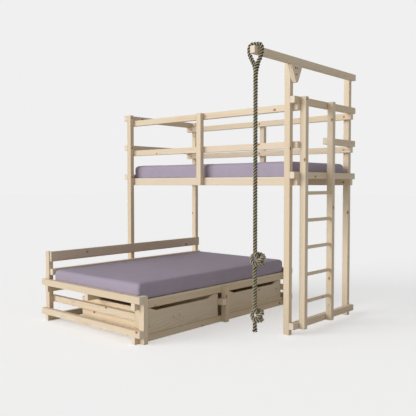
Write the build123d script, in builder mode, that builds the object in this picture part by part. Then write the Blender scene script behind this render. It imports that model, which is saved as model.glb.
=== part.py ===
from build123d import *
import math
import os

os.makedirs("parts", exist_ok=True)

# Corner bunk bed: a loft bed along X crosses a wide low bed along Y in the corner of a room.
# Millimetres, +Z up, origin on the floor under the middle of the whole bed.

# Timber sections
post_width = 58
post_depth = 46
beam_height = 58
beam_thickness = 46
edge_ease = 3

# Frame: both beds are equally long over their posts
frame_length = 2100
lower_width = 1400
slat_rail_level = 1284
low_guard_level = 1600
top_guard_level = 1920
climbing_beam_level = 2298
lower_slat_rail_level = 276

# Stop rail and backrest on the wall side of the low bed
stop_rail_level = 429
backrest_level = 556
backrest_height = 95
backrest_thickness = 25
wall_rail_setback = 10

# Climbing beam and its gusset
beam_overhang = 555
gusset_half_width = 85
gusset_tip_half_width = 14
gusset_height = 148
gusset_offset = 13
gusset_bolt_spread = 12
gusset_upper_bolt_drop = 31
gusset_lower_bolt_drop = 84

# Ladder
ladder_clear_of_floor = 50
ladder_inset = 84
ladder_rail_pitch = 452
rung_diameter = 30
rung_count = 5
lowest_rung_level = 282
rung_pitch = 234
rung_seat = 25
rung_play = 0.2

# Slatted bases
slat_width = 70
slat_thickness = 16
slat_end_gap = 22
slat_count = 15
strip_width = 16
slat_play = 0.5

# Mattresses
mattress_thickness = 135
mattress_crown = 8
mattress_waist = 5
mattress_edge_radius = 24
mattress_clearance = 0.3
upper_mattress_left_gap = 3
upper_mattress_ladder_gap = 10
upper_mattress_post_gap = 31.5
lower_mattress_stop_gap = 2
lower_mattress_post_gap = 6
lower_mattress_end_gap = 7

# Drawers
drawer_front_thickness = 20
drawer_gap = 3
drawer_low_gap = 2
drawer_top_gap = 4
drawer_board = 16
drawer_depth = 882
drawer_side_height = 194
drawer_box_lift = 8
drawer_joint_gap = 0.1
drawer_bottom_thickness = 6
groove_depth = 6
groove_level = 10
groove_play = 0.2
grip_from_end = 74.5
grip_slope = 70
grip_depth = 27
front_ease = 2

# Drawer slides: a channel on the beam, an angle on the drawer, one roller on each
slide_width = 12.7
slide_length = 850
slide_height = 40
slide_sheet = 1.5
channel_depth = 8
angle_web_height = 30
roller_width = 6
roller_play = 0.3
roller_axle = 8
roller_end_gap = 4

# Bolts: a head sunk in one timber, a threaded insert in the next
bolt_diameter = 8
bolt_hole = 9
head_diameter = 14
head_height = 5
socket_size = 6
socket_depth = 3
sink_diameter = 19
sink_depth = 8
insert_diameter = 12
insert_hole = 12.4
insert_bore = 8.4
insert_length = 18
insert_depth = 20
bolt_bite = 16

# Rope
rope_diameter = 33
rope_from_beam_end = 43
rope_play = 0.5
eye_leg_drop = 28
eye_throat_drop = 118
splice_diameter = 44
splice_top_drop = 82
splice_length = 272
splice_taper = 70
splice_shoulder = 22
upper_knot_level = 660
upper_knot_height = 99
upper_knot_diameter = 122
lower_knot_level = 207
lower_knot_height = 114
lower_knot_diameter = 110
rope_end_level = 129
rope_end_diameter = 41
rope_end_length = 18
run_share = 0.45

# Places that follow from these sizes
upper_depth = (frame_length + post_depth) / 2
x_left = -(frame_length + post_width) / 2
x_right = x_left + frame_length
x_drawer_side = x_left + lower_width
x_middle = (x_left + x_right) / 2
x_inner_post_face = x_drawer_side - post_width
y_near = -frame_length / 2
y_far = frame_length / 2
y_front = -post_depth / 2
y_back = y_front + upper_depth
rail_top = slat_rail_level + beam_height
post_top = top_guard_level + 2 * beam_height
climbing_post_top = climbing_beam_level + beam_height
lower_rail_top = lower_slat_rail_level + beam_height
end_beam_top = lower_rail_top + beam_height
drawer_beam_level = (beam_height + lower_slat_rail_level) / 2


def span(start, size):
    """The two faces of a piece that starts at one place and has this size."""
    return (start, start + size)


def middle(faces):
    """Half way between two faces."""
    return (faces[0] + faces[1]) / 2


# Faces of posts, rails and boards across the bed
x_post_left = span(x_left, post_width)
x_post_right = span(x_right - post_width, post_width)
x_post_short = span(x_middle - post_width / 2, post_width)
x_post_drawer = span(x_inner_post_face, post_width)
y_post_near = span(y_near, post_depth)
y_post_front = span(y_front, post_depth)
y_post_back = span(y_back - post_depth, post_depth)
x_upper_rail = (x_left - beam_thickness, x_right + beam_thickness)
y_rail_front = span(y_post_front[1], beam_thickness)
y_rail_back = span(y_post_back[0] - beam_thickness, beam_thickness)
x_end_left = span(x_left - beam_thickness, beam_thickness)
x_end_right = span(x_right, beam_thickness)
y_upper = (y_front, y_back)
x_ladder = span(x_end_right[1], post_width)
y_ladder_left = span(y_front + ladder_inset, post_depth)
y_ladder_right = span(y_ladder_left[0] + ladder_rail_pitch, post_depth)
x_rail_drawer = span(x_inner_post_face - beam_thickness, beam_thickness)
x_rail_wall = span(x_post_left[1], beam_thickness)
x_rail_middle = span((x_left + x_drawer_side - beam_thickness) / 2, beam_thickness)
y_lower_rail = (y_near - beam_thickness, y_far + beam_thickness)
y_wall_rail = (y_near + wall_rail_setback, y_far - wall_rail_setback)
x_backrest = span(x_post_left[1], backrest_thickness)
x_lower = (x_left, x_drawer_side)
y_end_near = span(y_near - beam_thickness, beam_thickness)
y_end_far = span(y_far, beam_thickness)
x_block = span(x_rail_drawer[0] - post_width, post_width)
x_short_beam = (x_left, x_block[0])
y_beam_1 = span(y_post_near[1], beam_thickness)
y_beam_2 = span(y_front - beam_thickness, beam_thickness)
y_beam_3 = span(y_post_front[1], beam_thickness)
y_beam_4 = span(y_post_back[0] - beam_thickness, beam_thickness)
z_drawer_beam = span(drawer_beam_level, beam_height)
z_upper_post = (0, post_top)
z_climbing_post = (0, climbing_post_top)
z_lower_post = (0, end_beam_top)
z_short_post = (slat_rail_level, top_guard_level + beam_height)
z_ladder = (ladder_clear_of_floor, post_top)
z_backrest = span(backrest_level, backrest_height)
z_slat_rail = span(slat_rail_level, beam_height)
z_low_guard = span(low_guard_level, beam_height)
z_top_guard = span(top_guard_level, beam_height)
z_end_slat = span(z_slat_rail[1], beam_height)
z_end_low = span(z_low_guard[1], beam_height)
z_end_top = span(z_top_guard[1], beam_height)
z_climbing_beam = span(climbing_beam_level, beam_height)
z_foot_tie = span(ladder_clear_of_floor, beam_height)
z_floor_rail = span(0, beam_height)
z_lower_slat = span(lower_slat_rail_level, beam_height)
z_stop_rail = span(stop_rail_level, beam_height)
z_end_beam_low = span(z_floor_rail[1], beam_height)
z_end_beam_top = span(z_lower_slat[1], beam_height)

# Every squared timber: name, faces in X, faces in Y, faces in Z
timbers = [
    ("post_left_front", x_post_left, y_post_front, z_upper_post),
    ("post_right_front", x_post_right, y_post_front, z_climbing_post),
    ("post_right_back", x_post_right, y_post_back, z_climbing_post),
    ("post_corner", x_post_left, y_post_back, z_upper_post),
    ("post_near_drawer_side", x_post_drawer, y_post_near, z_lower_post),
    ("post_middle_drawer_side", x_post_drawer, y_post_front, (0, lower_rail_top)),
    ("post_far_drawer_side", x_post_drawer, y_post_back, z_lower_post),
    ("post_near_wall_side", x_post_left, y_post_near, (0, z_backrest[1])),
    ("guard_post_front", x_post_short, y_post_front, z_short_post),
    ("guard_post_back", x_post_short, y_post_back, z_short_post),
    ("slat_rail_front", x_upper_rail, y_rail_front, z_slat_rail),
    ("slat_rail_back", x_upper_rail, y_rail_back, z_slat_rail),
    ("guard_rail_front_low", x_upper_rail, y_rail_front, z_low_guard),
    ("guard_rail_front_top", x_upper_rail, y_rail_front, z_top_guard),
    ("guard_rail_back_low", x_upper_rail, y_rail_back, z_low_guard),
    ("guard_rail_back_top", x_upper_rail, y_rail_back, z_top_guard),
    ("end_rail_left_slat", x_end_left, y_upper, z_end_slat),
    ("end_rail_left_low", x_end_left, y_upper, z_end_low),
    ("end_rail_left_top", x_end_left, y_upper, z_end_top),
    ("end_rail_right_slat", x_end_right, y_upper, z_end_slat),
    ("end_rail_right_low", x_end_right, (y_ladder_right[0], y_back), z_end_low),
    ("end_rail_right_top", x_end_right, y_upper, z_end_top),
    ("climbing_beam", x_end_right, (y_front - beam_overhang, y_back), z_climbing_beam),
    ("foot_tie_beam", x_end_right, y_upper, z_foot_tie),
    ("ladder_rail_left", x_ladder, y_ladder_left, z_ladder),
    ("ladder_rail_right", x_ladder, y_ladder_right, z_ladder),
    ("floor_rail_drawer_side", x_rail_drawer, y_lower_rail, z_floor_rail),
    ("floor_rail_wall_side", x_rail_wall, y_lower_rail, z_floor_rail),
    ("slat_rail_drawer_side", x_rail_drawer, y_lower_rail, z_lower_slat),
    ("slat_rail_wall_side", x_rail_wall, y_lower_rail, z_lower_slat),
    ("slat_rail_middle", x_rail_middle, y_lower_rail, z_lower_slat),
    ("mattress_stop_rail", x_rail_wall, y_wall_rail, z_stop_rail),
    ("backrest_board", x_backrest, y_wall_rail, z_backrest),
    ("end_beam_near_low", x_lower, y_end_near, z_end_beam_low),
    ("end_beam_near_top", x_lower, y_end_near, z_end_beam_top),
    ("end_beam_far_low", x_lower, y_end_far, z_end_beam_low),
    ("end_beam_far_top", x_lower, y_end_far, z_end_beam_top),
    ("drawer_beam_1", x_short_beam, y_beam_1, z_drawer_beam),
    ("drawer_beam_2", x_lower, y_beam_2, z_drawer_beam),
    ("drawer_beam_3", x_short_beam, y_beam_3, z_drawer_beam),
    ("drawer_beam_4", x_lower, y_beam_4, z_drawer_beam),
]

# Every bolt: where its axis enters the first timber, which way it points, how much it passes through
bolts = []


def add_bolt(x, y, z, direction, through):
    bolts.append((Vector(x, y, z), Vector(*direction), through))


to_left, to_right = (-1, 0, 0), (1, 0, 0)
to_front, to_back = (0, -1, 0), (0, 1, 0)
upward = (0, 0, 1)

# Rails of the loft bed to its posts, with the heads on the inside
for x_post in (x_post_left, x_post_short, x_post_right):
    for z_rail in (z_slat_rail, z_low_guard, z_top_guard):
        add_bolt(middle(x_post), y_rail_front[1], middle(z_rail), to_front, beam_thickness)
        add_bolt(middle(x_post), y_rail_back[0], middle(z_rail), to_back, beam_thickness)

# Posts of the loft bed to its end rails, the climbing beam and the foot tie
for y_post in (y_post_front, y_post_back):
    for z_rail in (z_end_slat, z_end_low, z_end_top):
        add_bolt(x_post_left[1], middle(y_post), middle(z_rail), to_left, post_width)
    for z_rail in (z_end_slat, z_end_top, z_climbing_beam, z_foot_tie):
        add_bolt(x_post_right[0], middle(y_post), middle(z_rail), to_right, post_width)
add_bolt(x_post_right[0], middle(y_post_back), middle(z_end_low), to_right, post_width)

# End rails and foot tie to the ladder
for z_rail in (z_end_slat, z_end_top, z_foot_tie):
    for y_rail in (y_ladder_left, y_ladder_right):
        add_bolt(x_end_right[0], middle(y_rail), middle(z_rail), to_right, beam_thickness)
add_bolt(x_end_right[0], middle(y_ladder_right), middle(z_end_low), to_right, beam_thickness)

# Gusset to the front climbing post
z_upper_pair = climbing_beam_level - gusset_upper_bolt_drop
for spread in (-gusset_bolt_spread, gusset_bolt_spread):
    add_bolt(x_end_right[1], middle(y_post_front) + spread, z_upper_pair, to_left, beam_thickness)
z_single = climbing_beam_level - gusset_lower_bolt_drop
add_bolt(x_end_right[1], middle(y_post_front), z_single, to_left, beam_thickness)

# Posts of the low bed to its end beams
for x_post in (x_post_left, x_post_drawer):
    for z_beam in (z_end_beam_low, z_end_beam_top):
        add_bolt(middle(x_post), y_post_near[1], middle(z_beam), to_front, post_depth)
        add_bolt(middle(x_post), y_post_back[0], middle(z_beam), to_back, post_depth)

# Long rails and backrest of the low bed to their posts
for y_post in (y_post_near, y_post_front, y_post_back):
    for z_rail in (z_floor_rail, z_lower_slat):
        add_bolt(x_rail_drawer[0], middle(y_post), middle(z_rail), to_right, beam_thickness)
    for z_rail in (z_floor_rail, z_lower_slat, z_stop_rail, z_backrest):
        add_bolt(x_left, middle(y_post), middle(z_rail), to_right, post_width)

# Middle slat rail to the end beams that lie on it
for y_end in (y_end_near, y_end_far):
    add_bolt(middle(x_rail_middle), middle(y_end), z_lower_slat[0], upward, beam_height)

# Drawer beams to the posts, and the short ones to their blocks
z_beam = middle(z_drawer_beam)
add_bolt(middle(x_post_left), y_beam_1[1], z_beam, to_front, beam_thickness)
add_bolt(middle(x_post_left), y_beam_3[1], z_beam, to_front, beam_thickness + post_depth)
add_bolt(middle(x_post_drawer), y_post_front[1], z_beam, to_front, post_depth)
add_bolt(middle(x_post_left), y_post_back[1], z_beam, to_front, post_depth)
add_bolt(middle(x_post_drawer), y_post_back[1], z_beam, to_front, post_depth)
for y_beam in (y_beam_1, y_beam_3):
    add_bolt(x_block[1], middle(y_beam), z_beam, to_left, post_width)
    for z_rail in (z_floor_rail, z_lower_slat):
        add_bolt(x_block[0], middle(y_beam), middle(z_rail), to_right, post_width)


def fill_box(x_faces, y_faces, z_faces, mode=Mode.ADD):
    """Add or cut a plain block between these faces in the piece that is being made."""
    with BuildSketch(Plane.XY.offset(z_faces[0])) as outline:
        with Locations((middle(x_faces), middle(y_faces))):
            Rectangle(x_faces[1] - x_faces[0], y_faces[1] - y_faces[0])
    extrude(outline.sketch, amount=z_faces[1] - z_faces[0], mode=mode)


def add_rod(start, direction, length, diameter, mode=Mode.ADD):
    """Add or cut a round rod in the piece that is being made."""
    with BuildSketch(Plane(origin=start, z_dir=direction)) as outline:
        Circle(diameter / 2)
    extrude(outline.sketch, amount=length, mode=mode)


def meets(point_1, point_2, faces):
    """Whether a line along X, Y or Z between two points runs inside these faces."""
    for place_1, place_2, side in zip(point_1, point_2, faces):
        if max(place_1, place_2) <= side[0] or min(place_1, place_2) >= side[1]:
            return False
    return True


def drill(*faces):
    """Cut the sink, the clear hole and the insert's hole of each bolt that meets these faces."""
    for head, direction, through in bolts:
        stretches = (
            (0, sink_depth, sink_diameter),
            (0, through, bolt_hole),
            (through, through + insert_depth, insert_hole),
        )
        for start, end, diameter in stretches:
            if meets(head + direction * start, head + direction * end, faces):
                add_rod(head + direction * start, direction, end - start, diameter, Mode.SUBTRACT)


def save(piece, label):
    piece.label = label
    export_step(piece, f"parts/{label}.step")


# Squared timbers with eased edges, and seats for the rungs in the ladder's rails
rung_levels = [lowest_rung_level + rung * rung_pitch for rung in range(rung_count)]
rung_seats = {
    "ladder_rail_left": (y_ladder_left[1], to_front),
    "ladder_rail_right": (y_ladder_right[0], to_back),
}
for label, x_faces, y_faces, z_faces in timbers:
    with BuildPart() as timber:
        fill_box(x_faces, y_faces, z_faces)
        fillet(timber.edges(), edge_ease)
        drill(x_faces, y_faces, z_faces)
        if label in rung_seats:
            y_seat, inward = rung_seats[label]
            for level in rung_levels:
                seat = (middle(x_ladder), y_seat, level)
                add_rod(seat, inward, rung_seat, rung_diameter + 2 * rung_play, Mode.SUBTRACT)
    save(timber.part, label)

# Ladder rungs
with BuildPart() as rungs:
    rung_start = y_ladder_left[1] - rung_seat
    rung_length = y_ladder_right[0] + rung_seat - rung_start
    for level in rung_levels:
        add_rod((middle(x_ladder), rung_start, level), to_back, rung_length, rung_diameter)
save(rungs.part, "ladder_rungs")

# Gusset: a blunt triangle under the climbing beam, against the front post
with BuildPart() as gusset:
    y_gusset = middle(y_post_front) + gusset_offset
    z_tip = climbing_beam_level - gusset_height
    with BuildSketch(Plane.YZ.offset(x_end_right[0])):
        with BuildLine():
            Polyline(
                (y_gusset - gusset_half_width, climbing_beam_level),
                (y_gusset + gusset_half_width, climbing_beam_level),
                (y_gusset + gusset_tip_half_width, z_tip),
                (y_gusset - gusset_tip_half_width, z_tip),
                close=True,
            )
        make_face()
    extrude(amount=beam_thickness)
    fillet(gusset.edges(), edge_ease)
    y_gusset_faces = (y_gusset - gusset_half_width, y_gusset + gusset_half_width)
    drill(x_end_right, y_gusset_faces, (z_tip, climbing_beam_level))
save(gusset.part, "climbing_beam_gusset")

# Blocks between the drawer side's rails, which carry the short drawer beams
with BuildPart() as blocks:
    for y_beam in (y_beam_1, y_beam_3):
        fill_box(x_block, y_beam, (0, lower_rail_top))
    fillet(blocks.edges(), edge_ease)
    for y_beam in (y_beam_1, y_beam_3):
        drill(x_block, y_beam, (0, lower_rail_top))
save(blocks.part, "drawer_beam_blocks")

# Slatted bases: two edge strips on the rails and the slats between them
slat_run = frame_length - 2 * slat_end_gap - slat_width
slat_places = [slat_end_gap + slat_run * slat / (slat_count - 1) for slat in range(slat_count)]

with BuildPart() as upper_base:
    z_slat = span(rail_top, slat_thickness)
    y_strip_front = span(y_rail_front[0], strip_width)
    y_strip_back = span(y_rail_back[1] - strip_width, strip_width)
    y_slat = (y_strip_front[1] + slat_play, y_strip_back[0] - slat_play)
    for y_strip in (y_strip_front, y_strip_back):
        fill_box((x_left, x_right), y_strip, z_slat)
    for place in slat_places:
        fill_box(span(x_left + place, slat_width), y_slat, z_slat)
save(upper_base.part, "upper_slat_base")

with BuildPart() as lower_base:
    z_slat = span(lower_rail_top, slat_thickness)
    x_strip_wall = span(x_rail_wall[0], strip_width)
    x_strip_drawer = span(x_rail_drawer[1] - strip_width, strip_width)
    x_slat = (x_strip_wall[1] + slat_play, x_strip_drawer[0] - slat_play)
    for x_strip in (x_strip_wall, x_strip_drawer):
        fill_box(x_strip, (y_near, y_far), z_slat)
    for place in slat_places:
        fill_box(x_slat, span(y_near + place, slat_width), z_slat)
save(lower_base.part, "lower_slat_base")

# Mattress sections: shares of the quarter turn that rounds each end, and of the length between
mattress_turn_shares = (0.1, 0.3, 0.55, 0.8, 1)
mattress_waist_shares = (0.15, 0.3, 0.5, 0.7, 0.85)


def mattress_sections(length):
    """How far along each section lies, and how far it draws in all round and at the waist."""
    start = []
    for share in mattress_turn_shares:
        turn = share * math.pi / 2
        inset = mattress_edge_radius * (math.sin(turn) - 1)
        start.append((mattress_edge_radius * (1 - math.cos(turn)), -inset, 0))
    waist = [(share * length, 0, 4 * share * (1 - share) * mattress_waist) for share in mattress_waist_shares]
    end = [(length - place, draw, 0) for place, draw, _ in reversed(start)]
    return start + waist + end


def make_mattress(label, x_faces, y_faces, z_low, along):
    """A mattress between these faces, with a crowned top, round edges and sides that draw in."""
    across = Vector(0, 0, 1).cross(along)
    room = Vector(x_faces[1] - x_faces[0], y_faces[1] - y_faces[0], 0)
    length = abs(room.dot(along))
    width = abs(room.dot(across))
    radius = mattress_edge_radius
    corner = radius * (1 - math.sqrt(0.5))
    with BuildPart() as mattress:
        for place, draw, waist in mattress_sections(length):
            side = width / 2 - draw - waist
            low = draw
            high = mattress_thickness - mattress_crown - draw
            origin = Vector(middle(x_faces), middle(y_faces), z_low) + along * (place - length / 2)
            with BuildSketch(Plane(origin=origin, x_dir=across, z_dir=along)):
                with BuildLine():
                    Line((side, low + radius), (side, high - radius))
                    ThreePointArc((side, high - radius), (side - corner, high - corner), (side - radius, high))
                    ThreePointArc((side - radius, high), (0, high + mattress_crown), (radius - side, high))
                    ThreePointArc((radius - side, high), (corner - side, high - corner), (-side, high - radius))
                    Line((-side, high - radius), (-side, low + radius))
                    ThreePointArc((-side, low + radius), (corner - side, low + corner), (radius - side, low))
                    Line((radius - side, low), (side - radius, low))
                    ThreePointArc((side - radius, low), (side - corner, low + corner), (side, low + radius))
                make_face()
        loft(ruled=True)
    save(mattress.part, label)


make_mattress(
    "upper_mattress",
    (x_left + upper_mattress_left_gap, x_right - upper_mattress_ladder_gap),
    (y_post_front[1] + upper_mattress_post_gap, y_post_back[0] - upper_mattress_post_gap),
    rail_top + slat_thickness + mattress_clearance,
    Vector(1, 0, 0),
)
make_mattress(
    "lower_mattress",
    (x_rail_wall[1] + lower_mattress_stop_gap, x_inner_post_face - lower_mattress_post_gap),
    (y_near + lower_mattress_end_gap, y_far - lower_mattress_end_gap),
    lower_rail_top + slat_thickness + mattress_clearance,
    Vector(0, 1, 0),
)

# Drawers: each runs between the two beams at its sides
drawer_bays = (("drawer_near", y_beam_1, y_beam_2), ("drawer_far", y_beam_3, y_beam_4))
x_front = span(x_inner_post_face - drawer_front_thickness, drawer_front_thickness)
z_front = (z_floor_rail[1] + drawer_low_gap, lower_slat_rail_level - drawer_top_gap)
x_box = (x_front[0] - drawer_depth, x_front[0])
z_box = span(z_floor_rail[1] + drawer_box_lift, drawer_side_height)
x_back_board = span(x_box[0], drawer_board)
z_groove = span(z_box[0] + groove_level, drawer_bottom_thickness + 2 * groove_play)
x_groove = (x_back_board[1] - groove_depth, x_front[0] + groove_depth)

# Slides: the channels' rollers sit at their front ends, the drawers' rollers at the back
x_channel = span(x_block[1] - slide_length, slide_length)
z_slide = span(middle(z_drawer_beam) - slide_height / 2, slide_height)
front_roller = slide_height + 2 * roller_play
back_roller = slide_height - 2 * slide_sheet - 2 * roller_play
x_front_roller = x_channel[1] - front_roller / 2
x_back_roller = x_channel[0] + back_roller / 2
x_channel_lips = (x_channel[0], x_front_roller - front_roller / 2 - roller_end_gap)
z_angle_lip = span(z_slide[1] + 2 * roller_play, slide_sheet)
z_angle_web = (z_angle_lip[1] - angle_web_height, z_angle_lip[1])


def outward(y_face, way, start, end):
    """Two faces at these distances from a beam's face, towards the drawer."""
    return tuple(sorted((y_face + way * start, y_face + way * end)))


def add_roller(x, y_face, way, start, diameter, axle_start, axle_end):
    """A roller on its axle: the roller turns free, the axle belongs to the sheet beside it."""
    facing = (0, way, 0)
    z_axis = middle(z_slide)
    add_rod((x, y_face + way * axle_start, z_axis), facing, axle_end - axle_start, roller_axle)
    with BuildSketch(Plane(origin=(x, y_face + way * start, z_axis), z_dir=facing)) as ring:
        Circle(diameter / 2)
        Circle(roller_axle / 2 + roller_play, mode=Mode.SUBTRACT)
    extrude(ring.sketch, amount=roller_width)


with BuildPart() as channels:
    for name, y_beam_left, y_beam_right in drawer_bays:
        for y_face, way in ((y_beam_left[1], 1), (y_beam_right[0], -1)):
            fill_box(x_channel, outward(y_face, way, 0, slide_sheet), z_slide)
            y_lip = outward(y_face, way, slide_sheet, channel_depth)
            fill_box(x_channel_lips, y_lip, span(z_slide[0], slide_sheet))
            fill_box(x_channel_lips, y_lip, span(z_slide[1] - slide_sheet, slide_sheet))
            roller_start = slide_sheet + roller_play
            axle_end = roller_start + roller_width + roller_play
            add_roller(x_front_roller, y_face, way, roller_start, front_roller, slide_sheet, axle_end)
save(channels.part, "drawer_slide_channels")

for name, y_beam_left, y_beam_right in drawer_bays:
    y_front_faces = (y_beam_left[0] + drawer_gap, y_beam_right[0] - drawer_gap)
    y_box = (y_beam_left[1] + slide_width, y_beam_right[0] - slide_width)
    y_sides = (span(y_box[0], drawer_board), span(y_box[1] - drawer_board, drawer_board))
    y_groove = (y_sides[0][1] - groove_depth, y_sides[1][0] + groove_depth)
    y_grip_top = (y_front_faces[0] + grip_from_end, y_front_faces[1] - grip_from_end)
    z_grip = z_front[1] - grip_depth

    with BuildPart() as front:
        with BuildSketch(Plane.YZ.offset(x_front[0])):
            with BuildLine():
                Polyline(
                    (y_front_faces[0], z_front[0]),
                    (y_front_faces[1], z_front[0]),
                    (y_front_faces[1], z_front[1]),
                    (y_grip_top[1], z_front[1]),
                    (y_grip_top[1] - grip_slope, z_grip),
                    (y_grip_top[0] + grip_slope, z_grip),
                    (y_grip_top[0], z_front[1]),
                    (y_front_faces[0], z_front[1]),
                    close=True,
                )
            make_face()
        extrude(amount=drawer_front_thickness)
        fillet(front.faces().sort_by(Axis.X)[-1].edges(), front_ease)
        fill_box((x_front[0], x_groove[1]), y_groove, z_groove, Mode.SUBTRACT)
    save(front.part, f"{name}_front")

    with BuildPart() as box:
        for y_side in y_sides:
            fill_box(x_box, y_side, z_box)
        y_back_board = (y_sides[0][1] + drawer_joint_gap, y_sides[1][0] - drawer_joint_gap)
        fill_box(x_back_board, y_back_board, z_box)
        fill_box((x_groove[0], x_box[1]), y_groove, z_groove, Mode.SUBTRACT)
    save(box.part, f"{name}_box")

    with BuildPart() as bottom:
        fill_box(
            (x_groove[0] + groove_play, x_groove[1] - groove_play),
            (y_groove[0] + groove_play, y_groove[1] - groove_play),
            span(z_groove[0], drawer_bottom_thickness),
        )
    save(bottom.part, f"{name}_bottom")

    with BuildPart() as angles:
        for y_face, way in ((y_beam_left[1], 1), (y_beam_right[0], -1)):
            web_start = slide_width - slide_sheet
            fill_box(x_channel, outward(y_face, way, web_start, slide_width), z_angle_web)
            lip_start = slide_sheet + 2 * roller_play
            fill_box(x_channel, outward(y_face, way, lip_start, web_start), z_angle_lip)
            roller_start = slide_sheet + roller_play
            axle_start = roller_start - roller_play / 2
            add_roller(x_back_roller, y_face, way, roller_start, back_roller, axle_start, web_start)
    save(angles.part, f"{name}_slide_angles")

# Rope: a spliced eye over the climbing beam, two knots and a whipped end
x_rope = middle(x_end_right)
y_rope = y_front - beam_overhang + rope_from_beam_end
rope_line = Axis((x_rope, y_rope, 0), (0, 0, 1))
rope_plane = Plane(origin=(x_rope, y_rope, 0), x_dir=(1, 0, 0), z_dir=(0, -1, 0))
rope_radius = rope_diameter / 2
eye_bend = edge_ease + rope_radius + rope_play
x_eye = beam_thickness / 2 - edge_ease + eye_bend
z_eye_top = climbing_post_top - edge_ease + eye_bend
eye_throat = (0, climbing_beam_level - eye_throat_drop)
eye_leg = (x_eye, climbing_beam_level - eye_leg_drop)
eye_corner = (x_eye, z_eye_top)
eye_top = (0, z_eye_top)
leg_turn = math.atan2(x_eye, eye_leg[1] - eye_throat[1])
shorter_run = min(math.dist(eye_throat, eye_leg), math.dist(eye_leg, eye_corner))
leg_bend = run_share * shorter_run / math.tan(leg_turn / 2)
upper_knot_top = upper_knot_level + upper_knot_height
lower_knot_top = lower_knot_level + lower_knot_height
splice_top = climbing_beam_level - splice_top_drop
splice_low = splice_top - splice_length

with BuildPart() as eye_half:
    with BuildLine(rope_plane) as eye_line:
        FilletPolyline(eye_throat, eye_leg, eye_corner, eye_top, radius=[leg_bend, eye_bend])
    with BuildSketch(Plane(origin=eye_line.line @ 0, z_dir=eye_line.line % 0)):
        Circle(rope_radius)
    sweep()
eye_expected = math.pi * rope_radius**2 * eye_line.wires()[0].length
print(f"eye bends {leg_bend:.0f} and {eye_bend:.0f}, volume {eye_half.part.volume / eye_expected:.4f}")

with BuildPart() as rope:
    add(eye_half.part)
    mirror(about=Plane.YZ.offset(x_rope))
    with BuildSketch(rope_plane):
        with BuildLine():
            Polyline(
                (0, splice_low),
                (rope_radius, splice_low),
                (splice_diameter / 2, splice_low + splice_taper),
                (splice_diameter / 2, splice_top - splice_shoulder),
                (rope_radius, splice_top),
                (0, splice_top),
                close=True,
            )
        make_face()
    revolve(axis=rope_line)
    add_rod((x_rope, y_rope, upper_knot_top), upward, splice_low - upper_knot_top, rope_diameter)
    middle_run = upper_knot_level - lower_knot_top
    add_rod((x_rope, y_rope, lower_knot_top), upward, middle_run, rope_diameter)
    add_rod((x_rope, y_rope, rope_end_level), upward, rope_end_length, rope_end_diameter)
    tail_start = rope_end_level + rope_end_length
    add_rod((x_rope, y_rope, tail_start), upward, lower_knot_level - tail_start, rope_diameter)
save(rope.part, "rope")

# Knots: the outer shape of each, meeting the rope above and below it face to face
with BuildPart() as knots:
    knot_sizes = (
        (upper_knot_level, upper_knot_top, upper_knot_diameter),
        (lower_knot_level, lower_knot_top, lower_knot_diameter),
    )
    for low, high, diameter in knot_sizes:
        with BuildSketch(rope_plane):
            with BuildLine():
                Line((0, low), (rope_radius, low))
                ThreePointArc((rope_radius, low), (diameter / 2, (low + high) / 2), (rope_radius, high))
                Line((rope_radius, high), (0, high))
                Line((0, high), (0, low))
            make_face()
        revolve(axis=rope_line)
save(knots.part, "rope_knots")


def make_bolt(through):
    """A socket-head bolt with its insert, pointing along Z from the face that it enters."""
    with BuildPart() as bolt:
        add_rod((0, 0, sink_depth - head_height), upward, head_height, head_diameter)
        with BuildSketch(Plane.XY.offset(sink_depth - head_height)) as socket:
            RegularPolygon(socket_size / 2, 6, major_radius=False)
        extrude(socket.sketch, amount=socket_depth, mode=Mode.SUBTRACT)
        add_rod((0, 0, sink_depth), upward, through + bolt_bite - sink_depth, bolt_diameter)
        with BuildSketch(Plane.XY.offset(through)) as sleeve:
            Circle(insert_diameter / 2)
            Circle(insert_bore / 2, mode=Mode.SUBTRACT)
        extrude(sleeve.sketch, amount=insert_length)
    return bolt.part


# Bolts and inserts, one kind for each thickness that they pass through
bolt_kinds = {through: make_bolt(through) for through in sorted({bolt[2] for bolt in bolts})}
with BuildPart() as bolt_set:
    for kind, bolt_part in bolt_kinds.items():
        places = [Plane(origin=head, z_dir=way) for head, way, through in bolts if through == kind]
        with Locations(*places):
            add(bolt_part)
save(bolt_set.part, "bolts_and_inserts")
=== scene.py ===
"""Corner bunk bed: pale pine timber, two lilac mattresses and a laid hemp rope with two knots."""

import math

import bpy
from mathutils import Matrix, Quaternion, Vector, noise


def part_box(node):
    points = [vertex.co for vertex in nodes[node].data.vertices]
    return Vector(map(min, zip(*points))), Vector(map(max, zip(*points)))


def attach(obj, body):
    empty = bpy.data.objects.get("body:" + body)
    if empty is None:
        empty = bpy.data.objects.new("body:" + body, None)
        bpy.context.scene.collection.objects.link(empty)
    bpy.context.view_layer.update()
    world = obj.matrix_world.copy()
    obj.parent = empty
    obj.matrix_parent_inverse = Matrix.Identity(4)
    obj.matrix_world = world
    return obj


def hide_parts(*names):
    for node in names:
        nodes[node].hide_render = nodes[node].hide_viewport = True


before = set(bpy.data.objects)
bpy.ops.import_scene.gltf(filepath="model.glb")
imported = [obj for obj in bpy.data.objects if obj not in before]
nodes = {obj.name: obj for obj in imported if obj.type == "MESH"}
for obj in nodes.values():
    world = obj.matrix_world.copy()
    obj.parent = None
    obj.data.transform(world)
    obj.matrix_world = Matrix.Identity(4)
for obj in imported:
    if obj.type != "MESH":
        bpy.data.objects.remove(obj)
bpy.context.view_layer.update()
scene = bpy.context.scene
along_z = Vector((0, 0, 1))

# Camera: metres and degrees
camera_place = Vector((3.761, -4.140, 1.295))
camera_tilt = 87.633
camera_turn = 41.674
camera_lens = 50
camera_sensor = 36

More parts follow.
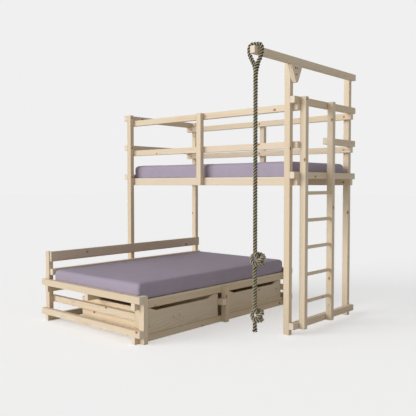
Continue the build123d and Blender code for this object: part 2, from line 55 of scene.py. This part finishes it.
# Light: strengths are shares of the light that shows a colour as it is written
lamp_share = Vector((-0.33, -0.61, 0.20))
lamp_softness = 45
room_share = 0.36
background = (0.871, 0.871, 0.871, 1)
floor_tone = (0.8, 0.8, 0.8, 1)
floor_glow = 0.411
floor_half = 60
white = (1, 1, 1, 1)

# Rope: metres, and millimetres in the lists of turns
rope_diameter = 0.033
rope_fullness = 1.09
rope_from_beam_end = 0.043
rope_lay = 0.070
rope_step = 0.004
route_steps = 16
rope_end_level = 0.135
strand_count = 3
strand_sides = 12
strand_offset = 0.266
strand_radius = 0.240
eye_slant = 0.3
splice_low = 1.944
upper_knot_middle = 0.708
upper_knot_width = 1.0
lower_knot_middle = 0.268
lower_knot_width = 0.86

# Mattresses
mattress_slack = 0.003
mattress_corner = 0.028
mattress_edge = 0.034
mattress_rounds = 6
mattress_foot = 0.022
mattress_foot_press_share = 0.85
mattress_voxel = 0.016
mattress_pressure = 4
mattress_cloth_quality = 4
mattress_swell = 0.007
mattress_wave_share = 0.8
mattress_waves_per_metre = 3.1
mattress_wave_level = 0.4
mattress_frames = 20
mattress_swell_top = 0.004

# Pine: metres, and colours as they are read on a screen, from 0 to 255
knot_along = 0.30
knot_across = 0.080
knot_flat_share = 0.62
knot_core_radii = (0.0090, 0.0060)
knot_rim_radii = (0.0150, 0.0080)
knot_bulge_radius = 0.055
knot_bulge = 0.012
ring_width = 0.0052
ring_slant_shares = (0.62, 0.78)
ring_curve = 0.012
ring_curves_per_metre = 22.0
pith_wander = 0.20
ring_wander = 0.007
backrest_streak = (0.558, 0.588, 0.50)
early_tone = (237, 221, 196)
late_tone = (219, 195, 161)
fibre_tone = (184, 152, 112)
board_tone = (218, 192, 152)
blush_tone = (222, 184, 140)
streak_tone = (178, 120, 66)
knot_rim_tone = (192, 128, 70)
knot_core_tone = (140, 86, 44)
end_early_tone = (238, 226, 206)
end_late_tone = (206, 178, 140)

# Mattress cover and rope: colours, and waves or yarns for each metre
cotton_tones = ((177, 166, 183), (171, 160, 177))
knit_tone = (146, 134, 152)
knit_ribs_per_metre = 260.0
knit_rows_per_metre = 200.0
hemp_tones = ((200, 190, 163), (178, 167, 141))
# Painted highlight: the pale tone laid on the outermost line of each strand
painted_crest_highlight_tone = (226, 218, 194)
hemp_yarn_tone = (98, 88, 68)
hemp_fuzz_tone = (186, 176, 152)
# Painted shade: the dark tone laid in the grooves where the strands meet
painted_groove_shade_tone = (52, 46, 34)
yarns_around = 10.0
yarns_per_metre = 110.0
knot_reaches = (0.074, 0.052)
knot_tight_share = 0.45


def deselect():
    """Nothing selected, so that an operator acts on one piece alone."""
    if bpy.context.object and bpy.context.object.mode != "OBJECT":
        bpy.ops.object.mode_set(mode="OBJECT")
    bpy.ops.object.select_all(action="DESELECT")


def choose(piece):
    """This piece selected and active, and nothing else."""
    deselect()
    piece.select_set(True)
    bpy.context.view_layer.objects.active = piece


def settle(piece):
    """Puts the piece's place, turn and size into its mesh."""
    choose(piece)
    bpy.ops.object.transform_apply(location=True, rotation=True, scale=True)


# Camera
camera = bpy.data.objects.new("camera", bpy.data.cameras.new("camera"))
scene.collection.objects.link(camera)
camera.location = camera_place
camera.rotation_euler = (math.radians(camera_tilt), 0, math.radians(camera_turn))
camera.data.lens = camera_lens
camera.data.sensor_width = camera_sensor
scene.camera = camera

# Rope: the eye round the beam, the straight run and the knots are one route
beam_low, beam_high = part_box("climbing_beam")
rope_x = (beam_low.x + beam_high.x) / 2
rope_y = beam_low.y + rope_from_beam_end
seen_right = Vector((math.cos(math.radians(camera_turn)), math.sin(math.radians(camera_turn)), 0))
seen_near = seen_right.cross(along_z)

# An overhand knot: millimetres to the right, up and towards the viewer from its middle
knot_turns = (
    (0, 76, 0),
    (0, 52, 6),
    (6, 30, 6),
    (24, 12, -10),
    (42, -10, -18),
    (58, -28, -12),
    (68, -39, 4),
    (50, -41, 18),
    (22, -40, 22),
    (0, -37, 20),
    (-18, -26, 12),
    (-25, -4, 2),
    (-22, 16, -10),
    (-8, 32, -24),
    (14, 37, -28),
    (38, 37, -24),
    (60, 32, -10),
    (71, 19, 8),
    (57, 8, 20),
    (36, -3, 22),
    (17, -20, 6),
    (3, -42, -14),
    (0, -60, -8),
    (0, -80, 0),
)
# The eye round the beam: millimetres to the side of the rope's line, and levels
eye_turns = (
    (-8, 2150),
    (-9, 2195),
    (-17, 2232),
    (-35, 2264),
    (-47, 2298),
    (-52, 2340),
    (-38, 2371),
    (-12, 2374),
    (12, 2374),
    (38, 2371),
    (52, 2340),
    (47, 2298),
    (35, 2264),
    (17, 2232),
    (7, 2195),
    (0, 2150),
    (0, 2060),
)
# How thick the rope is at levels of its straight run, and along its first stretch
splice_swells = ((2.240, 1.02), (2.215, 1.26), (2.180, 1.20), (2.130, 1.08), (splice_low, 1.0))
tail_swells = ((0.0, 0.45), (0.080, 1.0))
end_swells = ((0.034, 1.0), (0.027, 0.92), (0.019, 1.25), (0.006, 1.27), (0.0, 1.20))


def knot_points(level, width):
    """The points of one knot, its middle at this level on the rope's line."""
    middle = Vector((rope_x, rope_y, level))
    across = width / 1000
    return [
        middle + seen_right * (right * across) + along_z * (up / 1000) + seen_near * (near * across)
        for right, up, near in knot_turns
    ]


rope_route = [
    Vector((rope_x + side / 1000, rope_y + eye_slant * side / 1000, level / 1000))
    for side, level in eye_turns
]
rope_route.append(Vector((rope_x, rope_y, splice_low)))
rope_route += knot_points(upper_knot_middle, upper_knot_width)
rope_route += knot_points(lower_knot_middle, lower_knot_width)
rope_route.append(Vector((rope_x, rope_y, rope_end_level)))


def smooth_line(points):
    """Points along the smooth curve that these points control."""
    curve = bpy.data.curves.new("route", "CURVE")
    curve.dimensions = "3D"
    curve.resolution_u = route_steps
    spline = curve.splines.new("NURBS")
    spline.points.add(len(points) - 1)
    for place, point in zip(spline.points, points):
        place.co = (*point, 1)
    spline.order_u = 3
    spline.use_endpoint_u = True
    holder = bpy.data.objects.new("route", curve)
    scene.collection.objects.link(holder)
    bpy.context.view_layer.update()
    mesh = bpy.data.meshes.new_from_object(holder)
    line = [vertex.co.copy() for vertex in mesh.vertices]
    bpy.data.meshes.remove(mesh)
    bpy.data.objects.remove(holder)
    return line


def evenly(line, step):
    """The same line with its points one step apart."""
    spread = [line[0]]
    left = step
    for start, end in zip(line, line[1:]):
        run = (end - start).length
        while run > left:
            start = start + (end - start) * (left / run)
            spread.append(start)
            run -= left
            left = step
        left -= run
    if (line[-1] - spread[-1]).length < step / 2:
        spread.pop()
    spread.append(line[-1])
    return spread


def line_length(line):
    return sum((end - start).length for start, end in zip(line, line[1:]))


def side_frames(line):
    """Two directions across the line at each point, carried along it without twist."""
    ahead = (line[1] - line[0]).normalized()
    side = ahead.orthogonal().normalized()
    frames = []
    for here in range(len(line)):
        onward = (line[min(here + 1, len(line) - 1)] - line[max(here - 1, 0)]).normalized()
        side = ahead.rotation_difference(onward) @ side
        side = (side - onward * side.dot(onward)).normalized()
        ahead = onward
        frames.append((side, onward.cross(side)))
    return frames


def tube_mesh(name, rings):
    """A tube from rings of points, with a map of turns round it and metres along it."""
    sides = len(rings[0])
    points = [point for ring in rings for point in ring]
    faces = []
    for ring in range(len(rings) - 1):
        for side in range(sides):
            after = (side + 1) % sides
            here, onward = ring * sides, (ring + 1) * sides
            faces.append((here + side, here + after, onward + after, onward + side))
    faces.append(tuple(reversed(range(sides))))
    faces.append(tuple(range((len(rings) - 1) * sides, len(rings) * sides)))
    mesh = bpy.data.meshes.new(name)
    mesh.from_pydata([tuple(point) for point in points], [], faces)
    layer = mesh.uv_layers.new(name="lay")
    spacing = 0.0
    places = [0.0]
    for before, now in zip(rings, rings[1:]):
        spacing += (sum(now, Vector()) / sides - sum(before, Vector()) / sides).length
        places.append(spacing)
    for face in mesh.polygons:
        corners = [mesh.loops[loop].vertex_index for loop in face.loop_indices]
        wraps = {corner % sides for corner in corners} >= {0, sides - 1} and len(corners) == 4
        for loop, corner in zip(face.loop_indices, corners):
            turn = corner % sides
            if wraps and turn == 0:
                turn = sides
            layer.data[loop].uv = (turn / sides, places[corner // sides])
    mesh.polygons.foreach_set("use_smooth", [True] * len(mesh.polygons))
    return mesh


def swell_at(place, swells):
    """The share between two rows of a list of places and shares, in either order of place."""
    for (start, low), (end, high) in zip(swells, swells[1:]):
        if min(start, end) <= place <= max(start, end):
            return low + (high - low) * (place - start) / (end - start)
    return 1.0


rope_line = evenly(smooth_line(rope_route), rope_step)
rope_length = line_length(rope_line)
rope_frames = side_frames(rope_line)
top_place = max(range(len(rope_line)), key=lambda here: rope_line[here].z)
rope_swells = []
for here, point in enumerate(rope_line):
    share = swell_at(here * rope_step, tail_swells) * swell_at(rope_length - here * rope_step, end_swells)
    if here > top_place:
        share *= swell_at(point.z, splice_swells)
    rope_swells.append(share)


def strand_rings(start):
    """The rings of one strand, which starts at this turn and winds round the rope's line."""
    rings = []
    for here, (point, (side, across)) in enumerate(zip(rope_line, rope_frames)):
        thickness = rope_diameter * rope_fullness * rope_swells[here]
        turn = start + 2 * math.pi * here * rope_step / rope_lay
        out = side * math.cos(turn) + across * math.sin(turn)
        centre = point + out * thickness * strand_offset
        ahead = side.cross(across)
        ring = []
        for corner in range(strand_sides):
            reach = Quaternion(ahead, 2 * math.pi * corner / strand_sides) @ out
            ring.append(centre + reach * thickness * strand_radius)
        rings.append(ring)
    return rings


strands = []
for strand in range(strand_count):
    mesh = tube_mesh(f"strand_{strand}", strand_rings(2 * math.pi * strand / strand_count))
    strands.append(bpy.data.objects.new(f"strand_{strand}", mesh))
    scene.collection.objects.link(strands[-1])
deselect()
for strand in strands:
    strand.select_set(True)
bpy.context.view_layer.objects.active = strands[0]
bpy.ops.object.join()
rope = strands[0]
rope.name = "climbing_rope"
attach(rope, "frame")
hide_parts("rope", "rope_knots")


def bevel_edges(piece, wanted, width, segments):
    """Rounds the edges whose two ends pass a test."""
    choose(piece)
    bpy.ops.object.mode_set(mode="EDIT")
    bpy.ops.mesh.select_mode(type="EDGE")
    bpy.ops.mesh.select_all(action="DESELECT")
    bpy.ops.object.mode_set(mode="OBJECT")
    for edge in piece.data.edges:
        edge.select = wanted(*(piece.data.vertices[end].co for end in edge.vertices))
    bpy.ops.object.mode_set(mode="EDIT")
    bpy.ops.mesh.bevel(offset=width, segments=segments)
    bpy.ops.object.mode_set(mode="OBJECT")


def make_mattress(name, node):
    """A foam mattress in a smooth cover: soft upper edges, swollen a little by its filling."""
    low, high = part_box(node)
    start_low = low + Vector((mattress_slack, mattress_slack, 0))
    start_high = high - Vector((mattress_slack, mattress_slack, mattress_slack))
    deselect()
    bpy.ops.mesh.primitive_cube_add(size=1, location=(start_low + start_high) / 2)
    mattress = bpy.context.object
    mattress.name = name
    mattress.scale = start_high - start_low
    settle(mattress)
    near = mattress_edge / 10
    bevel_edges(mattress, lambda a, b: abs(a.z - b.z) > near, mattress_corner, mattress_rounds)
    bevel_edges(mattress, lambda a, b: min(a.z, b.z) > start_high.z - near, mattress_edge, mattress_rounds)
    voxels = mattress.modifiers.new("voxels", "REMESH")
    voxels.mode = "VOXEL"
    voxels.voxel_size = mattress_voxel
    choose(mattress)
    bpy.ops.object.modifier_apply(modifier=voxels.name)
    swell_mattress(mattress, low, high)
    finer = mattress.modifiers.new("finer", "SUBSURF")
    finer.levels = 1
    finer.render_levels = 1
    bpy.ops.object.modifier_apply(modifier=finer.name)
    square_foot(mattress)
    bpy.ops.object.shade_smooth()
    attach(mattress, "frame")
    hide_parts(node)
    return mattress


def square_foot(mattress):
    """Presses the rounded lower edge out to a nearly square one, as the weight on it does."""
    points = [vertex.co for vertex in mattress.data.vertices]
    lowest = min(point.z for point in points)
    for axis in range(2):
        for sign in (-1, 1):
            outermost = max(sign * point[axis] for point in points)
            for point in points:
                reach = sign * point[axis] - outermost + mattress_foot
                drop = lowest + mattress_foot - point.z
                if reach > 0 and drop > 0:
                    share = max(reach, drop) / math.hypot(reach, drop)
                    press = mattress_foot_press_share * (1 / share - 1)
                    point[axis] += sign * reach * press
                    point.z = max(lowest, point.z - drop * press)


def swell_mattress(mattress, low, high):
    """Cloth under pressure, with each point's move capped unevenly, so that the top lies in soft waves."""
    before = [vertex.co.copy() for vertex in mattress.data.vertices]
    cloth = mattress.modifiers.new("cover", "CLOTH")
    cloth.settings.use_pressure = True
    cloth.settings.uniform_pressure_force = mattress_pressure
    cloth.settings.effector_weights.gravity = 0
    cloth.settings.quality = mattress_cloth_quality
    cloth.point_cache.frame_start = 1
    cloth.point_cache.frame_end = mattress_frames
    for step in range(1, mattress_frames + 1):
        scene.frame_set(step)
    bpy.ops.object.modifier_apply(modifier=cloth.name)
    scene.frame_set(1)
    for vertex, start in zip(mattress.data.vertices, before):
        wave_place = Vector(
            (start.x * mattress_waves_per_metre, start.y * mattress_waves_per_metre, mattress_wave_level)
        )
        cap = mattress_swell * (1 + mattress_wave_share * noise.noise(wave_place))
        move = vertex.co - start
        if move.length > cap:
            vertex.co = start + move.normalized() * cap
        vertex.co.x = min(max(vertex.co.x, low.x), high.x)
        vertex.co.y = min(max(vertex.co.y, low.y), high.y)
        vertex.co.z = min(max(vertex.co.z, low.z), high.z + mattress_swell_top)


upper_mattress = make_mattress("upper_mattress_cover", "upper_mattress")
lower_mattress = make_mattress("lower_mattress_cover", "lower_mattress")


def srgb(red, green, blue):
    """A colour as it is read on a screen, from 0 to 255, as the shader takes it."""
    shares = [value / 255 for value in (red, green, blue)]
    return (*[s / 12.92 if s <= 0.04045 else ((s + 0.055) / 1.055) ** 2.4 for s in shares], 1)


class Finish:
    """A material under way, with short calls for its nodes."""

    def __init__(self, name):
        self.material = bpy.data.materials.new(name)
        self.material.use_nodes = True
        self.tree = self.material.node_tree
        self.shader = self.tree.nodes["Principled BSDF"]

    def add(self, kind, inputs=None, **settings):
        made = self.tree.nodes.new(kind)
        for setting, value in settings.items():
            setattr(made, setting, value)
        for socket, value in (inputs or {}).items():
            self.feed(made.inputs[socket], value)
        return made

    def feed(self, socket, value):
        if isinstance(value, bpy.types.NodeSocket):
            self.tree.links.new(value, socket)
        else:
            socket.default_value = value

    def place(self, scale=(1, 1, 1), turn=(0, 0, 0)):
        here = self.add("ShaderNodeTexCoord").outputs["Object"]
        return self.add("ShaderNodeMapping", {"Vector": here, "Scale": scale, "Rotation": turn}).outputs[0]

    def sum(self, operation, *values):
        made = self.add("ShaderNodeMath", dict(enumerate(values)), operation=operation)
        return made.outputs[0]

    def vector(self, operation, *values, result=0):
        made = self.add("ShaderNodeVectorMath", dict(enumerate(values)), operation=operation)
        return made.outputs[result]

    def noise(self, place, scale, detail=2.0, roughness=0.5):
        made = self.add(
            "ShaderNodeTexNoise",
            {"Vector": place, "Scale": scale, "Detail": detail, "Roughness": roughness},
        )
        return made.outputs["Fac"]

    def waves(self, per_metre, direction):
        made = self.add(
            "ShaderNodeTexWave",
            {"Vector": self.place(), "Scale": per_metre},
            wave_type="BANDS",
            bands_direction=direction,
        )
        return made.outputs["Fac"]

    def fade(self, value, start, end, low=0.0, high=1.0):
        made = self.add(
            "ShaderNodeMapRange",
            {"Value": value, "From Min": start, "From Max": end, "To Min": low, "To Max": high},
            interpolation_type="SMOOTHSTEP",
        )
        return made.outputs["Result"]

    def mix(self, share, first, second, blend="MIX"):
        made = self.add(
            "ShaderNodeMix", {0: share, 6: first, 7: second}, data_type="RGBA", blend_type=blend
        )
        return made.outputs[2]

    def bump(self, height, distance, strength=1.0, normal=None):
        inputs = {"Height": height, "Distance": distance, "Strength": strength}
        if normal:
            inputs["Normal"] = normal
        return self.add("ShaderNodeBump", inputs).outputs[0]

    def close(self, colour, roughness, normal=None, **constants):
        self.feed(self.shader.inputs["Base Color"], colour)
        self.feed(self.shader.inputs["Roughness"], roughness)
        if normal:
            self.feed(self.shader.inputs["Normal"], normal)
        for socket, value in constants.items():
            self.shader.inputs[socket.replace("_", " ")].default_value = value
        return self.material


def stretched(axis, along, across=1.0):
    """A scale for each axis: one along the timber, the other across it."""
    return tuple(along if place == axis else across for place in range(3))


def pine(name, axis, early=early_tone, late=late_tone, ring=ring_width, streak=None):
    """Planed pine with its grain along one axis, a few knots and a tone for each board."""
    finish = Finish(name)
    grain_place = finish.place(stretched(axis, 0.07))
    # Knots: the nearest cell point, measured in metres across the board and shorter along it
    knot_place = finish.place(tuple(1 / reach for reach in stretched(axis, knot_along, knot_across)))
    cells = finish.add(
        "ShaderNodeTexVoronoi", {"Vector": knot_place, "Scale": 1.0, "Randomness": 1.0}, feature="F1"
    )
    from_knot = finish.vector("SUBTRACT", knot_place, cells.outputs["Position"])
    from_knot = finish.vector(
        "MULTIPLY", from_knot, stretched(axis, knot_along * knot_flat_share, knot_across)
    )
    from_knot = finish.vector("LENGTH", from_knot, result=1)
    knot_core = finish.fade(from_knot, *knot_core_radii)
    knot_rim = finish.fade(from_knot, *knot_rim_radii)
    bulge = finish.sum("MULTIPLY", finish.fade(from_knot, knot_bulge_radius, 0.0), knot_bulge)
    # Year rings: arcs about a pith that wanders beside the board
    split = finish.add("ShaderNodeSeparateXYZ", {0: finish.place()}).outputs
    side, rise = [split[place] for place in range(3) if place != axis]
    side_share, rise_share = ring_slant_shares
    pith = finish.sum("MULTIPLY", finish.noise(grain_place, 5.0, 1.0), pith_wander)
    wander = finish.sum("MULTIPLY", finish.noise(grain_place, 45.0, 2.0), ring_wander)
    depth = finish.sum(
        "ADD", finish.sum("MULTIPLY", side, side_share), finish.sum("MULTIPLY", rise, rise_share)
    )
    skew = finish.sum(
        "SUBTRACT", finish.sum("MULTIPLY", side, rise_share), finish.sum("MULTIPLY", rise, side_share)
    )
    arc = finish.sum("SINE", finish.sum("MULTIPLY", skew, ring_curves_per_metre))
    curve = finish.sum("MULTIPLY", arc, ring_curve)
    for part in (pith, wander, bulge, curve):
        depth = finish.sum("ADD", depth, part)
    year = finish.sum("FRACT", finish.sum("DIVIDE", depth, ring))
    late_wood = finish.sum("MULTIPLY", finish.fade(year, 0.40, 0.86), finish.fade(year, 1.0, 0.93))
    fibre = finish.noise(finish.place(stretched(axis, 6.0, 420.0)), 1.0, 2.0)
    board = finish.noise(finish.place(stretched(axis, 0.35, 9.0)), 1.0, 1.0)
    blush = finish.noise(finish.place(stretched(axis, 2.2, 26.0)), 1.0, 2.0)
    colour = finish.mix(finish.sum("MULTIPLY", late_wood, 0.60), srgb(*early), srgb(*late))
    colour = finish.mix(finish.fade(fibre, 0.35, 0.75, 0.0, 0.10), colour, srgb(*fibre_tone))
    colour = finish.mix(finish.fade(board, 0.35, 0.70, 0.0, 0.34), colour, srgb(*board_tone))
    colour = finish.mix(finish.fade(blush, 0.55, 0.80, 0.0, 0.35), colour, srgb(*blush_tone))
    if streak:
        low, high, share = streak
        level = finish.sum("ADD", split[2], finish.sum("MULTIPLY", finish.noise(grain_place, 30.0), 0.02))
        colour = finish.mix(finish.fade(level, high, low, 0.0, share), colour, srgb(*streak_tone))
    colour = finish.mix(finish.sum("MULTIPLY", knot_rim, 0.62), colour, srgb(*knot_rim_tone))
    colour = finish.mix(finish.sum("MULTIPLY", knot_core, 0.88), colour, srgb(*knot_core_tone))
    # End grain: pale, with the rings thin on it
    normal = finish.add("ShaderNodeTexCoord").outputs["Normal"]
    facing = finish.add("ShaderNodeSeparateXYZ", {0: normal}).outputs
    end_face = finish.fade(finish.sum("ABSOLUTE", facing[axis]), 0.80, 0.95)
    end_tone = finish.mix(
        finish.sum("MULTIPLY", late_wood, 0.35), srgb(*end_early_tone), srgb(*end_late_tone)
    )
    colour = finish.mix(end_face, colour, end_tone)
    height = finish.sum(
        "SUBTRACT", finish.sum("MULTIPLY", fibre, 0.5), finish.sum("MULTIPLY", late_wood, 0.35)
    )
    roughness = finish.fade(late_wood, 0.0, 1.0, 0.62, 0.50)
    return finish.close(colour, roughness, finish.bump(height, 0.0004, 0.6), Specular_IOR_Level=0.35)


def mattress_fabric():
    """Soft lilac cotton: a fine knit, with a little sheen."""
    finish = Finish("mattress_cotton")
    ribs = finish.waves(knit_ribs_per_metre, "X")
    rows = finish.waves(knit_rows_per_metre, "Y")
    knit = finish.sum("MULTIPLY", ribs, rows)
    cloud = finish.noise(finish.place(), 5.0, 3.0)
    fold = finish.noise(finish.place((1, 1, 2)), 2.2, 2.0)
    pale, deep = cotton_tones
    colour = finish.mix(finish.fade(cloud, 0.3, 0.7, 0.0, 0.5), srgb(*pale), srgb(*deep))
    colour = finish.mix(finish.sum("MULTIPLY", knit, 0.10), colour, srgb(*knit_tone))
    normal = finish.bump(fold, 0.010, 0.25)
    normal = finish.bump(knit, 0.0004, 0.4, normal)
    return finish.close(
        colour, 0.85, normal, Sheen_Weight=0.03, Sheen_Roughness=0.5, Specular_IOR_Level=0.2
    )


def hemp():
    """Laid hemp: fine yarns along each strand, painted shade in the grooves between the strands and a
    painted highlight on their outer crests.
    """
    finish = Finish("hemp")
    around = finish.add("ShaderNodeUVMap", uv_map="lay").outputs[0]
    split = finish.add("ShaderNodeSeparateXYZ", {0: around}).outputs
    turn = finish.sum(
        "SUBTRACT",
        finish.sum("MULTIPLY", split[0], yarns_around),
        finish.sum("MULTIPLY", split[1], yarns_per_metre),
    )
    ridge = finish.sum("ABSOLUTE", finish.sum("SUBTRACT", finish.sum("FRACT", turn), 0.5))
    # From 0 on the outermost line of a strand to a half at the rope's heart
    inward = finish.sum("SUBTRACT", 0.5, finish.sum("ABSOLUTE", finish.sum("SUBTRACT", split[0], 0.5)))
    # The strands lie tighter in the knots, so the painted groove shade and crest highlight are weaker
    # there
    level = finish.add("ShaderNodeSeparateXYZ", {0: finish.place()}).outputs[2]
    tight = 0.0
    for middle in (upper_knot_middle, lower_knot_middle):
        from_middle = finish.sum("ABSOLUTE", finish.sum("SUBTRACT", level, middle))
        tight = finish.sum("ADD", tight, finish.fade(from_middle, *knot_reaches))
    painted_groove_and_crest_share = finish.sum("SUBTRACT", 1.0, finish.sum("MULTIPLY", tight, knot_tight_share))
    # Painted shade in the grooves between the strands, weaker in the knots
    painted_groove_shade = finish.sum("MULTIPLY", finish.fade(inward, 0.10, 0.23), painted_groove_and_crest_share)
    # Painted highlight along the outer crest of each strand, weaker in the knots
    painted_crest_highlight = finish.sum("MULTIPLY", finish.fade(inward, 0.11, 0.0), painted_groove_and_crest_share)
    fuzz = finish.noise(finish.place(), 900.0, 3.0)
    stain = finish.noise(finish.place(), 26.0, 3.0)
    pale, deep = hemp_tones
    colour = finish.mix(finish.fade(stain, 0.3, 0.7), srgb(*pale), srgb(*deep))
    # Painted highlight laid on the strand crests
    colour = finish.mix(finish.sum("MULTIPLY", painted_crest_highlight, 0.45), colour, srgb(*painted_crest_highlight_tone))
    colour = finish.mix(finish.fade(ridge, 0.30, 0.5, 0.0, 0.50), colour, srgb(*hemp_yarn_tone))
    colour = finish.mix(finish.fade(fuzz, 0.5, 0.7, 0.0, 0.35), colour, srgb(*hemp_fuzz_tone))
    # Painted shade laid into the grooves between the strands
    colour = finish.mix(finish.sum("MULTIPLY", painted_groove_shade, 0.92), colour, srgb(*painted_groove_shade_tone))
    height = finish.sum("ADD", finish.sum("MULTIPLY", ridge, -1.0), finish.sum("MULTIPLY", fuzz, 0.3))
    return finish.close(colour, 0.9, finish.bump(height, 0.0012, 0.8), Specular_IOR_Level=0.15)


def metal(name, tone, roughness, metallic):
    """Zinc on a bolt or powder paint on a slide, a little uneven."""
    finish = Finish(name)
    cloud = finish.noise(finish.place(), 120.0, 3.0)
    darker = tuple(value * 0.86 for value in tone)
    colour = finish.mix(cloud, srgb(*tone), srgb(*darker))
    rough = finish.fade(cloud, 0.3, 0.7, roughness - 0.06, roughness + 0.06)
    return finish.close(colour, rough, finish.bump(cloud, 0.0002, 0.3), Metallic=metallic)


def paint(piece, material):
    """The piece has this material all over."""
    piece.data.materials.clear()
    piece.data.materials.append(material)
    for face in piece.data.polygons:
        face.material_index = 0


pine_finishes = [pine(f"pine_{'xyz'[axis]}", axis) for axis in range(3)]
front_finish = pine("drawer_front_pine", 1, (231, 216, 192), (212, 191, 160), 0.0080)
slat_finish = [
    pine(f"slat_pine_{'xy'[axis]}", axis, (226, 208, 178), (204, 178, 138), 0.0040) for axis in range(2)
]
backrest_finish = pine("backrest_pine", 1, (226, 210, 188), (206, 184, 152), 0.0065, backrest_streak)
board_finish = pine("drawer_board_pine", 0, (251, 231, 200), (234, 208, 170), 0.0070)
zinc = metal("yellow_zinc", (158, 108, 58), 0.45, 0.6)
powder = metal("powder_paint", (226, 222, 214), 0.45, 0.0)


def longest_axis(node):
    low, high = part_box(node)
    sides = high - low
    return max(range(3), key=lambda place: sides[place])


for label, piece in nodes.items():
    if label in ("rope", "rope_knots", "upper_mattress", "lower_mattress"):
        continue
    if label == "bolts_and_inserts":
        finish = zinc
    elif "slide" in label:
        finish = powder
    elif label == "upper_slat_base":
        finish = slat_finish[1]
    elif label == "lower_slat_base":
        finish = slat_finish[0]
    elif label == "backrest_board":
        finish = backrest_finish
    elif label == "ladder_rungs":
        finish = pine_finishes[1]
    elif label.startswith("drawer_") and label.endswith("_front"):
        finish = front_finish
    elif label.endswith("_box") or label.endswith("_bottom"):
        finish = board_finish
    elif label in ("drawer_beam_blocks", "climbing_beam_gusset"):
        finish = pine_finishes[2]
    else:
        finish = pine_finishes[longest_axis(label)]
    paint(piece, finish)
paint(rope, hemp())
lilac = mattress_fabric()
paint(upper_mattress, lilac)
paint(lower_mattress, lilac)


def lay_floor():
    """A wide pale floor that keeps the shadow."""
    deselect()
    bpy.ops.mesh.primitive_plane_add(size=2 * floor_half)
    floor = bpy.context.object
    floor.name = "floor"
    ground = Finish("floor")
    seen = ground.add("ShaderNodeLightPath").outputs
    ground.close(floor_tone, 1.0, Specular_IOR_Level=0.0)
    ground.feed(ground.shader.inputs["Emission Color"], white)
    glow = ground.sum("MULTIPLY", seen["Is Camera Ray"], floor_glow)
    ground.feed(ground.shader.inputs["Emission Strength"], glow)
    paint(floor, ground.material)


def light_room():
    """Even light from all round, with the pale background where the camera or a gloss sees it."""
    world = bpy.data.worlds.new("room")
    world.use_nodes = True
    scene.world = world
    room = world.node_tree
    surface = room.nodes["Background"]
    output = room.nodes["World Output"]
    seen = room.nodes.new("ShaderNodeLightPath").outputs
    backdrop = room.nodes.new("ShaderNodeBackground")
    backdrop.inputs["Color"].default_value = background
    surface.inputs["Color"].default_value = white
    surface.inputs["Strength"].default_value = room_share
    either = room.nodes.new("ShaderNodeMath")
    either.operation = "MAXIMUM"
    blend = room.nodes.new("ShaderNodeMixShader")
    room.links.new(seen["Is Camera Ray"], either.inputs[0])
    room.links.new(seen["Is Glossy Ray"], either.inputs[1])
    room.links.new(either.outputs[0], blend.inputs[0])
    room.links.new(surface.outputs[0], blend.inputs[1])
    room.links.new(backdrop.outputs[0], blend.inputs[2])
    room.links.new(blend.outputs[0], output.inputs["Surface"])


def hang_lamp():
    """One large soft lamp, whose share of light along each axis is set above."""
    lamp = bpy.data.objects.new("lamp", bpy.data.lights.new("lamp", "SUN"))
    scene.collection.objects.link(lamp)
    lamp.rotation_euler = lamp_share.to_track_quat("Z", "Y").to_euler()
    lamp.data.energy = math.pi * lamp_share.length
    lamp.data.angle = math.radians(lamp_softness)


lay_floor()
light_room()
hang_lamp()
scene.view_settings.view_transform = "Standard"
